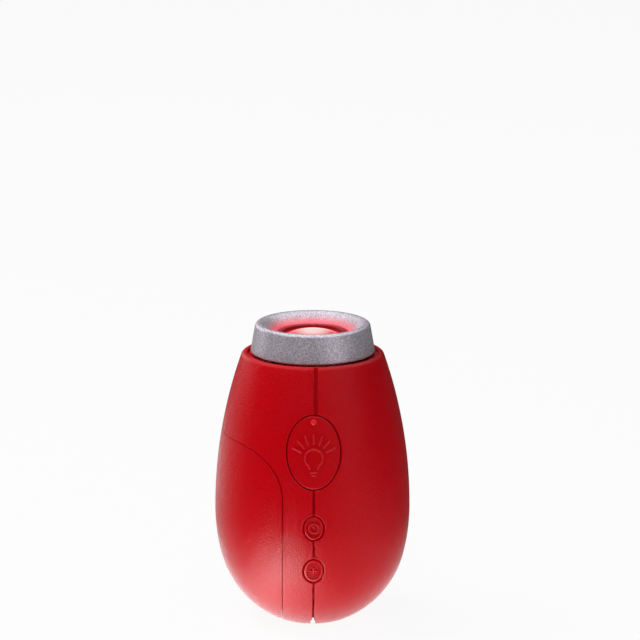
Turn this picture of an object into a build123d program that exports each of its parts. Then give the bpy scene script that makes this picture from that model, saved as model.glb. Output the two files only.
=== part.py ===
"""Pocket projection alarm clock: an egg-shaped case that throws the time on a wall.

Two half shells meet on the plane x = 0, the buttons face -Y, and the lens looks up along +Z.
A cam turns the focus ring's rotation into the lens carrier's rise. The battery door is the cheek on
the -X side. The origin is the centre of the flat foot. All sizes are in millimetres.
"""

import math
import os

from build123d import *

# Outer skin: three tangent arcs turned about Z, from the foot to the shoulder.
BELLY_R = 19.0
BELLY_Z = 22.15
FLANK_ARC_R, FLANK_ARC_DEG = 92.4, 24.0
BELLY_ARC_R, BELLY_ARC_DEG = 39.07, 13.48
FOOT_ARC_R = 19.0
RIM_Z, RIM_FILLET = 53.0, 0.85
BEYOND = 60.0  # farther out than any point of the case

# Shells.
WALL = 1.6
WELD = 0.3  # how far a rib or boss runs into the wall that carries it
FLOOR_Z = 2.0
DECK_LOW, DECK_HIGH = 50.8, 52.4
NECK_R = 10.2
RIM_INNER_R = 12.7
SEAM_WIDTH, SEAM_DEPTH = 0.4, 0.4
TOP_GROOVE_WIDTH, TOP_GROOVE_DEPTH, TOP_GROOVE_LOW = 0.86, 0.45, 44.0
SHELF_LOW, SHELF_HIGH = 48.2, 49.4
RIB = 1.2
SADDLE_HALF = 7.9
LOW_SADDLE_Z, MID_SADDLE_Z, HIGH_SADDLE_Z = 12.2, 33.0, 40.0

# Battery door seam, as seen from the front.
DOOR_X = -6.0
DOOR_CORNER_Z, DOOR_CORNER_R = 36.4, 9.5
DOOR_SLOPE = 0.12
DOOR_GAP = 0.12
DOOR_TOP = 46.0
LIP_FIT, LIP_WALL, LIP_ROOT = 0.2, 1.0, 1.2
BAY_INNER, BAY_OUTER = 2.3, 3.1
BAY_X = DOOR_X - BAY_OUTER
TAB_Y, TAB_THICK, TAB_Z, TAB_HEIGHT = 11.4, 1.0, 20.0, 6.0
TAB_TIP_X, TAB_NIB, TAB_NIB_LONG, TAB_PLAY = -7.4, 0.4, 0.8, 0.3
CELL_RIB_Z, CELL_RIB_HALF, CELL_RIB_PLAY = (15.5, 23.5), 6.0, 0.25

# Focus ring: the collar on top, and the skirt and flange that hold it in the neck.
COLLAR_LOW_Z, COLLAR_LOW_R = 53.1, 12.1
CREST_Z, CREST_R, DISH_R = 58.8, 11.1, 10.0
MOUTH_Z, MOUTH_R = 57.0, 7.0
LIP_UNDER_Z = 55.6
COLLAR_FILLETS = [0.3, 0.75, 1.6, 0.35]
SKIRT_OUTER, SKIRT_INNER, SKIRT_LOW = 10.0, 8.6, 44.0
FLANGE_R, FLANGE_LOW, FLANGE_HIGH = 11.2, 49.7, 50.6
CAM_RISE_PER_RAD, CAM_Z = 1.289, 47.4
PIN_R, PIN_PLAY, PIN_ROOT, PIN_TIP = 0.9, 0.15, 6.15, 9.7
FOCUS_DOWN_DEG, FOCUS_UP_DEG, CAM_SPARE_DEG = 50.0, 30.0, 7.5
CAM_COUNT = 3
CAM_START_DEG = 90.0

# Optics on the Z axis.
TUBE_BORE, TUBE_LOW_R, TUBE_HIGH_R = 6.9, 7.9, 8.4
TUBE_LOW, TUBE_STEP, TUBE_TOP = 27.5, 42.6, 55.3
TUBE_FLANGE_R, TUBE_FLANGE_LOW = 9.2, 38.9
CARRIER_R, CARRIER_BORE, CARRIER_LOW, CARRIER_TOP = 6.8, 6.15, 45.4, 56.95
CARRIER_EDGE = 0.15
LENS_R, LENS_BACK, LENS_APEX, LENS_DOME_R = 6.1, 54.6, 57.4, 15.0
LENS_LIP_R, LENS_LIP_Z = 5.85, 56.24
RETAINER_LOW, RETAINER_INNER = 53.4, 5.3
LAMP_HOUSE_R, LAMP_HOUSE_LOW, LAMP_HOUSE_FLOOR = 7.9, 12.0, 14.0
LED_R, LED_FLANGE_R, LED_LOW, LED_FLANGE_TOP, LED_TOP = 2.5, 2.9, 11.0, 12.0, 19.6
LED_BORE = 2.6
LEAD_X, LEAD_SIDE, LEAD_Z = 1.27, 0.5, 10.4
CONDENSER_R, CONDENSER_LOW, CONDENSER_EDGE, CONDENSER_APEX = 6.0, 20.4, 21.6, 23.2
CONDENSER_SEAT_R = 5.2
LCD_SIDE, LCD_LOW, LCD_HIGH = 10.4, 25.6, 26.8
MASK_WINDOW_X, MASK_WINDOW_Y = 8.0, 5.0
FLEX_WIDTH, FLEX_LOW, FLEX_THICK, FLEX_PLAY = 6.0, 26.0, 0.2, 0.3
SOCKET_WIDTH, SOCKET_LOW, SOCKET_HIGH, SOCKET_DEEP = 7.0, 25.4, 26.8, 1.2

# Board and push buttons.
BOARD_FRONT, BOARD_BACK = -10.4, -9.2
BOARD_LEFT, BOARD_RIGHT, BOARD_LOW, BOARD_HIGH = -6.4, 8.8, 9.6, 43.4
BOARD_MID_X = (BOARD_LEFT + BOARD_RIGHT) / 2
BOARD_PLAY, BOARD_CORNER = 0.1, 1.2
BLOB_R, BLOB_Z, BLOB_RISE = 3.2, 29.9, 1.2
CRYSTAL_R, CRYSTAL_X, CRYSTAL_LOW, CRYSTAL_HIGH = 1.0, 6.2, 28.0, 34.0
CHIP_X, CHIP_Z, CHIP_SIZE = 6.2, (18.0, 21.0, 24.0), (2.0, 0.6, 1.25)
SWITCH_SIDE, SWITCH_DEEP, SWITCH_EDGE = 6.0, 3.1, 0.2
PLUNGER_R, PLUNGER_PLAY, PLUNGER_TIP, PLUNGER_ROOT = 1.6, 0.1, -14.8, -12.8
PLUNGER_WELL = 2.0
BUTTON_GAP, BUTTON_FLANGE, FLANGE_PLAY, FLANGE_THICK = 0.15, 0.9, 0.15, 0.8
BUTTON_EDGE, APERTURE_EDGE, STEM_R = 0.3, 0.25, 1.3
CAP_RIM, CAP_RECESS = 0.5, 0.3  # the raised rim round the two small caps, and the hollow in it
SIDE_WALL = 0.01  # a face whose normal leans less than this along Y is a side wall
BUTTONS = {  # name: height, half width and half height of the aperture
    "project": (37.2, 5.25, 7.15),
    "mode": (22.6, 2.05, 2.48),
    "set": (13.9, 2.05, 2.48),
}
PIP_Z, PIP_R, PIP_RISE, PIP_EDGE = 43.1, 0.6, 0.35, 0.3

# Coin cell, held on edge beside the lamp house, and its contacts.
CELL_R, CELL_THICK, CELL_BACK_X, CELL_Z = 10.0, 3.2, -10.0, 19.5
CELL_FRONT_X = CELL_BACK_X - CELL_THICK
CELL_STEP_R, CELL_STEP = 8.8, 0.3
CELL_RING_FIT, CELL_RING_WALL, CELL_RING_X, CELL_RING_GAP = 0.2, 0.8, -12.2, 9.0
STRIP = 0.25
TAIL_Y, TAIL_WIDTH, TAIL_PLAY = -9.7, 1.4, 0.15
NEGATIVE_TAIL_Z, NEGATIVE_LOW, NEGATIVE_HALF = 23.0, 15.0, 2.0
POSITIVE_TAIL_Z, POSITIVE_Z, POSITIVE_HALF, POSITIVE_HOOK, POSITIVE_WIDTH = 10.6, 8.7, 2.0, 1.4, 1.2
POSITIVE_BEND_Y = -5.2

# Case screws, which run along X from the battery bay into the right shell.
SCREWS = [(10.2, 30.2, -10.3), (8.3, 9.0, BAY_X)]  # y, z, and x under the head
SCREW_R, SCREW_HEAD_R, SCREW_HEAD, SCREW_TIP = 0.8, 1.5, 1.1, 7.0
SCREW_PLAY, SLOT_DEEP, DRIVE_WIDTH = 0.15, 0.4, 0.4
BOSS_R = 2.0

# Strap slot and its cross pin under the foot.
SLOT_WIDTH, SLOT_HALF, SLOT_TOP = 0.9, 10.0, 3.4
STRAP_BLOCK_X, STRAP_BLOCK_HALF, STRAP_BLOCK_TOP = 7.6, 9.6, 5.0
STRAP_PIN_R, STRAP_PIN_HALF, STRAP_PIN_Z = 0.6, 3.2, 1.9

# Alarm sounder on the back wall.
SOUNDER_Z, SOUNDER_R, SOUNDER_SEAT_Y = 20.5, 6.0, 13.2
SEAT_FRONT_Y, SEAT_PLAY, SEAT_WALL, SEAT_LEDGE = 12.4, 0.1, 0.9, 1.0
DISC_THICK, CERAMIC_R = 0.2, 4.5
WIRE_R, WIRE_BEND = 0.35, 1.5
WIRE_CLEAR_Y, WIRE_SIDE_X, WIRE_BACK_Y, WIRE_FRONT_Y = 10.9, 11.2, 5.5, -5.0
WIRE_END_X, WIRE_END_Y = 7.6, -7.4
WIRES = {"sounder_wire_1": (2.5, 22.0, 12.8), "sounder_wire_2": (5.0, 18.5, 13.0)}  # x, z, start y

LEFT_KEEP, RIGHT_KEEP = Keep.BOTTOM, Keep.TOP
NODES = []


def name_piece(piece, name):
    """Label a finished piece and put it on the list of nodes to write."""
    piece.label = name
    NODES.append(piece)


def on_circle(centre, radius, degrees):
    """The point of a circle at an angle from its local X axis."""
    turn = math.radians(degrees)
    return (centre[0] + radius * math.cos(turn), centre[1] + radius * math.sin(turn))


FLANK_CENTRE = (BELLY_R - FLANK_ARC_R, BELLY_Z)
BELLY_CENTRE = (BELLY_R - BELLY_ARC_R, BELLY_Z)
FOOT_CENTRE = on_circle(BELLY_CENTRE, BELLY_ARC_R - FOOT_ARC_R, -BELLY_ARC_DEG)


def egg(inset, low=0.0, high=RIM_Z):
    """The body of revolution that lies inset inside the outer skin, between two heights."""
    foot_r, belly_r, flank_r = FOOT_ARC_R - inset, BELLY_ARC_R - inset, FLANK_ARC_R - inset
    foot_deg = -math.degrees(math.asin((FOOT_CENTRE[1] - inset) / foot_r))
    with BuildPart() as form:
        with BuildSketch(Plane.XZ):
            with BuildLine():
                foot = CenterArc(FOOT_CENTRE, foot_r, foot_deg, -BELLY_ARC_DEG - foot_deg)
                CenterArc(BELLY_CENTRE, belly_r, -BELLY_ARC_DEG, BELLY_ARC_DEG)
                flank = CenterArc(FLANK_CENTRE, flank_r, 0, FLANK_ARC_DEG)
                top, bottom = flank @ 1, foot @ 0
                Polyline(top, (0, top.Y), (0, bottom.Y), bottom)
            make_face()
            with Locations((0, low)):
                Rectangle(
                    2 * BELLY_R, high - low, align=(Align.MIN, Align.MIN), mode=Mode.INTERSECT
                )
        revolve(axis=Axis.Z)
    return form.part


def skin_radius(z):
    """The outer skin's radius on the foot or flank arc at a height."""
    lower = z < BELLY_Z
    centre, radius = (FOOT_CENTRE, FOOT_ARC_R) if lower else (FLANK_CENTRE, FLANK_ARC_R)
    return centre[0] + math.sqrt(radius**2 - (z - centre[1]) ** 2)


def disc(outer, low, high, inner=0.0):
    """A plain disc or ring on the Z axis."""
    with BuildPart() as ring:
        with BuildSketch(Plane.XY.offset(low)):
            Circle(outer)
            if inner:
                Circle(inner, mode=Mode.SUBTRACT)
        extrude(amount=high - low)
    return ring.part


def block(x, y, z):
    """A box between two values along each axis."""
    with BuildPart() as box:
        with Locations((x[0], y[0], z[0])):
            Box(x[1] - x[0], y[1] - y[0], z[1] - z[0], align=(Align.MIN, Align.MIN, Align.MIN))
    return box.part


def bar_along_x(y, z, radius, start, end):
    """A round bar along X."""
    with BuildPart() as bar:
        with BuildSketch(Plane.YZ.offset(start)):
            with Locations((y, z)):
                Circle(radius)
        extrude(amount=end - start)
    return bar.part


def bar_along_y(x, z, radius, start, end):
    """A round bar along Y."""
    with BuildPart() as bar:
        with BuildSketch(Plane.XZ.offset(-start)):
            with Locations((x, z)):
                Circle(radius)
        extrude(amount=start - end)
    return bar.part


def three_around(piece):
    """Three copies of a piece, evenly spaced about Z."""
    step = 360 / CAM_COUNT
    return [piece.rotate(Axis.Z, CAM_START_DEG + step * turn) for turn in range(CAM_COUNT)]


def door_side(shift):
    """All space on the battery side of the door seam, its edge moved into the door by shift."""
    with BuildPart() as side:
        with BuildSketch(Plane.XZ):
            with BuildLine():
                seam = FilletPolyline(
                    (DOOR_X, -BEYOND),
                    (DOOR_X, DOOR_CORNER_Z),
                    (DOOR_X - BEYOND, DOOR_CORNER_Z + DOOR_SLOPE * BEYOND),
                    radius=DOOR_CORNER_R,
                )
                Polyline(seam @ 1, (DOOR_X - BEYOND, -BEYOND), seam @ 0)
            make_face()
            if shift:
                offset(amount=-shift)
        extrude(amount=BEYOND, both=True)
    return side.part


# Case: walls, neck, shelf, apertures and seam, before the split into shells.


def case_walls():
    """The skin and everything turned about Z: walls, foot, deck, neck and washer shelf."""
    cavity = egg(WALL, FLOOR_Z, DECK_LOW)
    shelf = egg(WALL - WELD, SHELF_LOW, SHELF_HIGH)
    neck = disc(NECK_R, SHELF_LOW, RIM_Z)
    rim_recess = disc(RIM_INNER_R, DECK_HIGH, RIM_Z)
    with BuildPart() as walls:
        add(egg(0))
        rim = walls.edges().filter_by(GeomType.CIRCLE).sort_by(Axis.Z)[-1]
        fillet(rim, RIM_FILLET)
        add(cavity, mode=Mode.SUBTRACT)
        add(shelf)
        add(neck, mode=Mode.SUBTRACT)
        add(rim_recess, mode=Mode.SUBTRACT)
    return walls.part


def seam_grooves():
    """The fine line between the shells, and the wide step that takes its place above the big button."""
    seam_core, groove_core = egg(SEAM_DEPTH, SEAM_DEPTH), egg(TOP_GROOVE_DEPTH, TOP_GROOVE_LOW)
    seam_x = (-SEAM_WIDTH / 2, SEAM_WIDTH / 2)
    with BuildPart() as seam:
        add(block(seam_x, (-BEYOND, BEYOND), (0, TOP_GROOVE_LOW)))
        add(block(seam_x, (0, BEYOND), (TOP_GROOVE_LOW, DECK_HIGH)))
        add(seam_core, mode=Mode.SUBTRACT)
    with BuildPart() as groove:
        add(block((0, TOP_GROOVE_WIDTH), (-BEYOND, 0), (TOP_GROOVE_LOW, RIM_Z)))
        add(groove_core, mode=Mode.SUBTRACT)
    return [seam.part, groove.part]


def sounder_seat():
    """The ring on the back wall that the sounder disc drops into."""
    room = egg(WALL / 2)
    steps = [
        (SOUNDER_R + SEAT_PLAY + SEAT_WALL, SEAT_FRONT_Y, Mode.ADD),
        (SOUNDER_R + SEAT_PLAY, SEAT_FRONT_Y, Mode.SUBTRACT),
        (SOUNDER_R, SOUNDER_SEAT_Y, Mode.ADD),
        (SOUNDER_R - SEAT_LEDGE, SOUNDER_SEAT_Y, Mode.SUBTRACT),
    ]
    with BuildPart() as seat:
        for radius, front, mode in steps:
            add(bar_along_y(0, SOUNDER_Z, radius, front, BELLY_R), mode=mode)
        add(room, mode=Mode.INTERSECT)
    return seat.part


def strap_anchor():
    """The block over the foot that the strap slot is cut into."""
    half = STRAP_BLOCK_X / 2
    room = egg(WALL / 2)
    with BuildPart() as anchor:
        add(block((-half, half), (-STRAP_BLOCK_HALF, STRAP_BLOCK_HALF), (0, STRAP_BLOCK_TOP)))
        add(room, mode=Mode.INTERSECT)
    return anchor.part


walls, grooves, seat, anchor = case_walls(), seam_grooves(), sounder_seat(), strap_anchor()
strap_bore = bar_along_x(0, STRAP_PIN_Z, STRAP_PIN_R, -STRAP_PIN_HALF, STRAP_PIN_HALF)
with BuildPart() as case:
    add(walls)
    add(seat)
    add(anchor)
    for z, half_width, half_height in BUTTONS.values():
        with BuildSketch(Plane.XZ.offset(SADDLE_HALF)):
            with Locations((0, z)):
                Ellipse(half_width, half_height)
        extrude(amount=BELLY_R, mode=Mode.SUBTRACT)
        skin_y = WALL / 2 - skin_radius(z)
        outlines = case.edges(Select.LAST).filter_by(lambda edge: edge.center().Y < skin_y)
        fillet(outlines, APERTURE_EDGE)
    for groove in grooves:
        add(groove, mode=Mode.SUBTRACT)
    with BuildSketch(Plane.XY):
        SlotOverall(2 * SLOT_HALF, SLOT_WIDTH, rotation=90)
    extrude(amount=SLOT_TOP, mode=Mode.SUBTRACT)
    add(strap_bore, mode=Mode.SUBTRACT)


def saddle(z, keep):
    """A cross rib in one shell that cradles the optics and grips the board's edge."""
    room = egg(WALL - WELD, z, z + RIB)
    bore = disc(TUBE_LOW_R, z, z + RIB)
    front = block((-SADDLE_HALF, SADDLE_HALF), (-BEYOND, BOARD_BACK + BOARD_PLAY), (z, z + RIB))
    board_slot = block(
        (BOARD_LEFT - BOARD_PLAY, BOARD_RIGHT + BOARD_PLAY),
        (BOARD_FRONT - BOARD_PLAY, BOARD_BACK + BOARD_PLAY),
        (z, z + RIB),
    )
    with BuildPart() as rib:
        add(room)
        split(bisect_by=Plane.YZ, keep=keep)
        for gap in (bore, front, board_slot):
            add(gap, mode=Mode.SUBTRACT)
    return rib.part


# Right shell: saddles and the bosses that the case screws bite into.
right_saddles = [saddle(z, RIGHT_KEEP) for z in (LOW_SADDLE_Z, MID_SADDLE_Z, HIGH_SADDLE_Z)]
boss_room = egg(WALL - WELD)
right_bosses = [bar_along_x(y, z, BOSS_R, 0, BELLY_R) for y, z, _ in SCREWS]
pilot_holes = [bar_along_x(y, z, SCREW_R, -WALL, SCREW_TIP) for y, z, _ in SCREWS]
with BuildPart() as right_posts:
    for boss in right_bosses:
        add(boss)
    add(boss_room, mode=Mode.INTERSECT)
with BuildPart() as right_shell:
    add(case.part)
    split(bisect_by=Plane.YZ, keep=RIGHT_KEEP)
    add(right_posts.part)
    for rib in right_saddles:
        add(rib)
    for hole in pilot_holes:
        add(hole, mode=Mode.SUBTRACT)
name_piece(right_shell.part, "right_shell")

# Left shell: the door opening, and behind it the battery bay with its lip and cell ring.
door_opening, lip_side = door_side(-DOOR_GAP / 2), door_side(-LIP_ROOT)
bay_inner, bay_outer = door_side(BAY_INNER), door_side(BAY_OUTER)
lip_skin, lip_low = WALL + LIP_FIT, FLOOR_Z + LIP_FIT
lip_outer = egg(lip_skin, lip_low, DOOR_TOP)
lip_inner = egg(lip_skin + LIP_WALL, lip_low + LIP_WALL, DOOR_TOP - LIP_WALL)
weld_skin = egg(WALL - WELD, FLOOR_Z - WELD, DOOR_TOP)
with BuildPart() as bay_room:
    add(lip_inner)
    add(bay_inner, mode=Mode.SUBTRACT)
with BuildPart() as bay:
    add(lip_outer)
    add(lip_side, mode=Mode.INTERSECT)
    add(bay_outer, mode=Mode.SUBTRACT)
    add(bay_room.part, mode=Mode.SUBTRACT)
with BuildPart() as lip_weld:
    add(weld_skin)
    add(lip_side, mode=Mode.INTERSECT)
    add(door_opening, mode=Mode.SUBTRACT)
    add(lip_inner, mode=Mode.SUBTRACT)
with BuildPart() as cell_ring:
    with BuildSketch(Plane.YZ.offset(CELL_RING_X)):
        with Locations((0, CELL_Z)):
            Circle(CELL_R + CELL_RING_FIT + CELL_RING_WALL)
            Circle(CELL_R + CELL_RING_FIT, mode=Mode.SUBTRACT)
            Rectangle(CELL_RING_GAP, BEYOND, mode=Mode.SUBTRACT)
    extrude(amount=BAY_X - CELL_RING_X + WELD)
    add(lip_outer, mode=Mode.INTERSECT)

tab_slots = [
    block(
        (BAY_X - WALL, BAY_X + WALL),
        (side * TAB_Y - low, side * TAB_Y + high),
        (TAB_Z - TAB_HEIGHT / 2 - TAB_PLAY, TAB_Z + TAB_HEIGHT / 2 + TAB_PLAY),
    )
    for side, low, high in (
        (1, TAB_PLAY, TAB_THICK + TAB_NIB + TAB_PLAY),
        (-1, TAB_THICK + TAB_NIB + TAB_PLAY, TAB_PLAY),
    )
]
tail_slots = [
    block(
        (BAY_X - WALL, BAY_X + WALL),
        (TAIL_Y - TAIL_WIDTH / 2 - TAIL_PLAY, TAIL_Y + TAIL_WIDTH / 2 + TAIL_PLAY),
        (z - TAIL_PLAY, z + STRIP + TAIL_PLAY),
    )
    for z in (NEGATIVE_TAIL_Z, POSITIVE_TAIL_Z)
]
strap_notch = block(
    (BAY_X - STRIP - TAIL_PLAY, BAY_X),
    (-CELL_R - CELL_RING_WALL - WELD, -CELL_R + WELD),
    (NEGATIVE_TAIL_Z - TAIL_WIDTH - TAIL_PLAY, NEGATIVE_TAIL_Z + STRIP + TAIL_PLAY),
)
left_bosses = [bar_along_x(y, z, BOSS_R, seat_x, 0) for y, z, seat_x in SCREWS]
shank_holes = [bar_along_x(y, z, SCREW_R + SCREW_PLAY, -BELLY_R, WALL) for y, z, _ in SCREWS]
head_holes = [
    bar_along_x(y, z, SCREW_HEAD_R + SCREW_PLAY, -BELLY_R, seat_x) for y, z, seat_x in SCREWS
]
left_saddle = saddle(HIGH_SADDLE_Z, LEFT_KEEP)
with BuildPart() as left_shell:
    add(case.part)
    split(bisect_by=Plane.YZ, keep=LEFT_KEEP)
    add(door_opening, mode=Mode.SUBTRACT)
    for piece in [lip_weld.part, bay.part, cell_ring.part, left_saddle, *left_bosses]:
        add(piece)
    for gap in [*tab_slots, *tail_slots, strap_notch, *shank_holes, *head_holes]:
        add(gap, mode=Mode.SUBTRACT)
name_piece(left_shell.part, "left_shell")

# Battery door: the cheek of the skin beyond the seam, with two snap tabs and two ribs for the cell.
door_skin, door_core = egg(0), egg(WALL, FLOOR_Z, DOOR_TOP)
door_edge = door_side(DOOR_GAP / 2)
with BuildPart() as door_tabs:
    with BuildSketch(Plane.XY.offset(TAB_Z - TAB_HEIGHT / 2)):
        with BuildLine():
            Polyline(
                (-BELLY_R, TAB_Y),
                (TAB_TIP_X, TAB_Y),
                (TAB_TIP_X, TAB_Y + TAB_THICK / 2),
                (TAB_TIP_X - TAB_NIB_LONG, TAB_Y + TAB_THICK + TAB_NIB),
                (TAB_TIP_X - TAB_NIB_LONG, TAB_Y + TAB_THICK),
                (-BELLY_R, TAB_Y + TAB_THICK),
                close=True,
            )
        make_face()
        mirror(about=Plane.XZ)
    extrude(amount=TAB_HEIGHT)
    add(boss_room, mode=Mode.INTERSECT)
cell_ribs = [
    block(
        (-BELLY_R, CELL_FRONT_X - CELL_RIB_PLAY),
        (-CELL_RIB_HALF, CELL_RIB_HALF),
        (z - RIB / 2, z + RIB / 2),
    )
    for z in CELL_RIB_Z
]
with BuildPart() as door_ribs:
    for rib in cell_ribs:
        add(rib)
    add(boss_room, mode=Mode.INTERSECT)
with BuildPart() as battery_door:
    add(door_skin)
    add(door_core, mode=Mode.SUBTRACT)
    add(door_edge, mode=Mode.INTERSECT)
    add(door_tabs.part)
    add(door_ribs.part)
name_piece(battery_door.part, "battery_door")

# Focus ring: collar, skirt and flange in one turned piece, with three cam slots.
cam_start_deg = FOCUS_DOWN_DEG + CAM_SPARE_DEG
cam_turn_deg = cam_start_deg + FOCUS_UP_DEG + CAM_SPARE_DEG
cam_low_z = CAM_Z - CAM_RISE_PER_RAD * math.radians(cam_start_deg)
cam_height = CAM_RISE_PER_RAD * math.radians(cam_turn_deg)
cam_half_width = PIN_R + PIN_PLAY
cam_r, cam_reach = (SKIRT_OUTER + SKIRT_INNER) / 2, SKIRT_OUTER - SKIRT_INNER
cam_low_end = bar_along_x(0, cam_low_z, cam_half_width, cam_r - cam_reach, cam_r + cam_reach)
cam_high_end = cam_low_end.moved(Location((0, 0, cam_height))).rotate(Axis.Z, -cam_turn_deg)
with BuildPart() as cam_slot:
    with BuildLine() as cam_path:
        Helix(
            2 * math.pi * CAM_RISE_PER_RAD,
            cam_height,
            cam_r,
            center=(0, 0, cam_low_z),
            lefthand=True,
        )
    with BuildSketch(Plane(cam_path.line @ 0, x_dir=(1, 0, 0), z_dir=cam_path.line % 0)):
        Rectangle(2 * cam_reach, 2 * cam_half_width)
    sweep(path=cam_path.line, is_frenet=True)
    add(cam_low_end)
    add(cam_high_end)
with BuildPart() as focus_ring:
    with BuildSketch(Plane.XZ):
        with BuildLine():
            collar = FilletPolyline(
                (SKIRT_OUTER, COLLAR_LOW_Z),
                (COLLAR_LOW_R, COLLAR_LOW_Z),
                (CREST_R, CREST_Z),
                (DISH_R, CREST_Z),
                (MOUTH_R, MOUTH_Z),
                (MOUTH_R, LIP_UNDER_Z),
                radius=COLLAR_FILLETS,
            )
            Polyline(
                collar @ 1,
                (SKIRT_INNER, LIP_UNDER_Z),
                (SKIRT_INNER, SKIRT_LOW),
                (SKIRT_OUTER, SKIRT_LOW),
                (SKIRT_OUTER, FLANGE_LOW),
                (FLANGE_R, FLANGE_LOW),
                (FLANGE_R, FLANGE_HIGH),
                (SKIRT_OUTER, FLANGE_HIGH),
                collar @ 0,
            )
        make_face()
    revolve(axis=Axis.Z)
    for slot in three_around(cam_slot.part.rotate(Axis.Z, cam_start_deg)):
        add(slot, mode=Mode.SUBTRACT)
name_piece(focus_ring.part, "focus_ring")

# Lens carrier: a sleeve with a thin front lip and three pressed-in steel cam pins.
pin_hole = bar_along_x(0, CAM_Z, PIN_R, CARRIER_BORE - WALL, PIN_TIP)
with BuildPart() as lens_carrier:
    add(disc(CARRIER_R, CARRIER_LOW, CARRIER_TOP, LENS_LIP_R))
    add(disc(CARRIER_BORE, CARRIER_LOW, LENS_LIP_Z), mode=Mode.SUBTRACT)
    top_edges = lens_carrier.edges().filter_by(GeomType.CIRCLE).group_by(Axis.Z)[-1]
    fillet(top_edges, CARRIER_EDGE)
    for hole in three_around(pin_hole):
        add(hole, mode=Mode.SUBTRACT)
name_piece(lens_carrier.part, "lens_carrier")

with BuildPart() as cam_pins:
    for pin in three_around(bar_along_x(0, CAM_Z, PIN_R, PIN_ROOT, PIN_TIP)):
        add(pin)
name_piece(cam_pins.part, "cam_pins")


def dome_lens(radius, back, dome_r, apex):
    """A flat-backed lens whose front is part of a sphere."""
    with BuildPart() as lens:
        with BuildSketch(Plane.XZ):
            with BuildLine():
                edge_deg = math.degrees(math.acos(radius / dome_r))
                dome = CenterArc((0, apex - dome_r), dome_r, edge_deg, 90 - edge_deg)
                Polyline(dome @ 1, (0, back), (radius, back), dome @ 0)
            make_face()
        revolve(axis=Axis.Z)
    return lens.part


name_piece(dome_lens(LENS_R, LENS_BACK, LENS_DOME_R, LENS_APEX), "projection_lens")
name_piece(disc(CARRIER_BORE, RETAINER_LOW, LENS_BACK, RETAINER_INNER), "lens_retainer")

# Optical tube: guides the carrier, and three straight slots keep the carrier from turning.
slot_low = CAM_Z - CAM_RISE_PER_RAD * math.radians(FOCUS_DOWN_DEG)
slot_high = CAM_Z + CAM_RISE_PER_RAD * math.radians(FOCUS_UP_DEG)
with BuildPart() as guide_slot:
    with BuildSketch(Plane.YZ.offset(CARRIER_R - PIN_PLAY)):
        with Locations((0, (slot_low + slot_high) / 2)):
            SlotCenterToCenter(slot_high - slot_low + PIN_PLAY, 2 * cam_half_width, rotation=90)
    extrude(amount=cam_reach + WALL)
with BuildPart() as optical_tube:
    add(disc(TUBE_LOW_R, TUBE_LOW, TUBE_STEP, TUBE_BORE))
    add(disc(TUBE_HIGH_R, TUBE_STEP, TUBE_TOP, TUBE_BORE))
    add(disc(TUBE_FLANGE_R, TUBE_FLANGE_LOW, HIGH_SADDLE_Z, TUBE_BORE))
    for slot in three_around(guide_slot.part):
        add(slot, mode=Mode.SUBTRACT)
name_piece(optical_tube.part, "optical_tube")

# Lamp house: carries the lamp, the condenser lens and the display glass under the tube.
glass_half = LCD_SIDE / 2
with BuildPart() as lamp_house:
    add(disc(LAMP_HOUSE_R, LAMP_HOUSE_LOW, TUBE_LOW, CONDENSER_SEAT_R))
    add(disc(CONDENSER_SEAT_R, LAMP_HOUSE_LOW, LAMP_HOUSE_FLOOR, LED_BORE))
    add(disc(CONDENSER_R, CONDENSER_LOW, LCD_LOW), mode=Mode.SUBTRACT)
    with BuildSketch(Plane.XY.offset(LCD_LOW)):
        Rectangle(LCD_SIDE, LCD_SIDE)
    extrude(amount=TUBE_LOW - LCD_LOW, mode=Mode.SUBTRACT)
    flex_half = FLEX_WIDTH / 2 + FLEX_PLAY
    flex_z = (FLEX_LOW - FLEX_PLAY, FLEX_LOW + FLEX_THICK + FLEX_PLAY)
    add(block((-flex_half, flex_half), (-BELLY_R, 0), flex_z), mode=Mode.SUBTRACT)
name_piece(lamp_house.part, "lamp_house")

with BuildPart() as led_lamp:
    with BuildSketch(Plane.XZ):
        with BuildLine():
            tip = CenterArc((0, LED_TOP - LED_R), LED_R, 0, 90)
            Polyline(
                tip @ 1,
                (0, LED_LOW),
                (LED_FLANGE_R, LED_LOW),
                (LED_FLANGE_R, LED_FLANGE_TOP),
                (LED_R, LED_FLANGE_TOP),
                tip @ 0,
            )
        make_face()
    revolve(axis=Axis.Z)
name_piece(led_lamp.part, "led_lamp")
for side, name in ((-1, "led_lead_1"), (1, "led_lead_2")):
    near, far = side * LEAD_X - LEAD_SIDE / 2, side * LEAD_X + LEAD_SIDE / 2
    with BuildPart() as lead:
        add(block((near, far), (-LEAD_SIDE / 2, LEAD_SIDE / 2), (LEAD_Z, LED_LOW)))
        add(block((near, far), (BOARD_BACK, LEAD_SIDE / 2), (LEAD_Z - LEAD_SIDE, LEAD_Z)))
    name_piece(lead.part, name)

condenser_dome = CONDENSER_R**2 / (2 * (CONDENSER_APEX - CONDENSER_EDGE))
condenser_dome += (CONDENSER_APEX - CONDENSER_EDGE) / 2
condenser = dome_lens(CONDENSER_R, CONDENSER_LOW, condenser_dome, CONDENSER_APEX)
name_piece(condenser, "condenser_lens")
glass = (-glass_half, glass_half)
name_piece(block(glass, glass, (LCD_LOW, LCD_HIGH)), "lcd_panel")
with BuildPart() as lcd_mask:
    with BuildSketch(Plane.XY.offset(LCD_HIGH)):
        Rectangle(LCD_SIDE, LCD_SIDE)
        Rectangle(MASK_WINDOW_X, MASK_WINDOW_Y, mode=Mode.SUBTRACT)
    extrude(amount=TUBE_LOW - LCD_HIGH)
name_piece(lcd_mask.part, "lcd_mask")
half_flex, half_socket = FLEX_WIDTH / 2, SOCKET_WIDTH / 2
socket_back = BOARD_BACK + SOCKET_DEEP
flex_rows = (FLEX_LOW, FLEX_LOW + FLEX_THICK)
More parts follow.
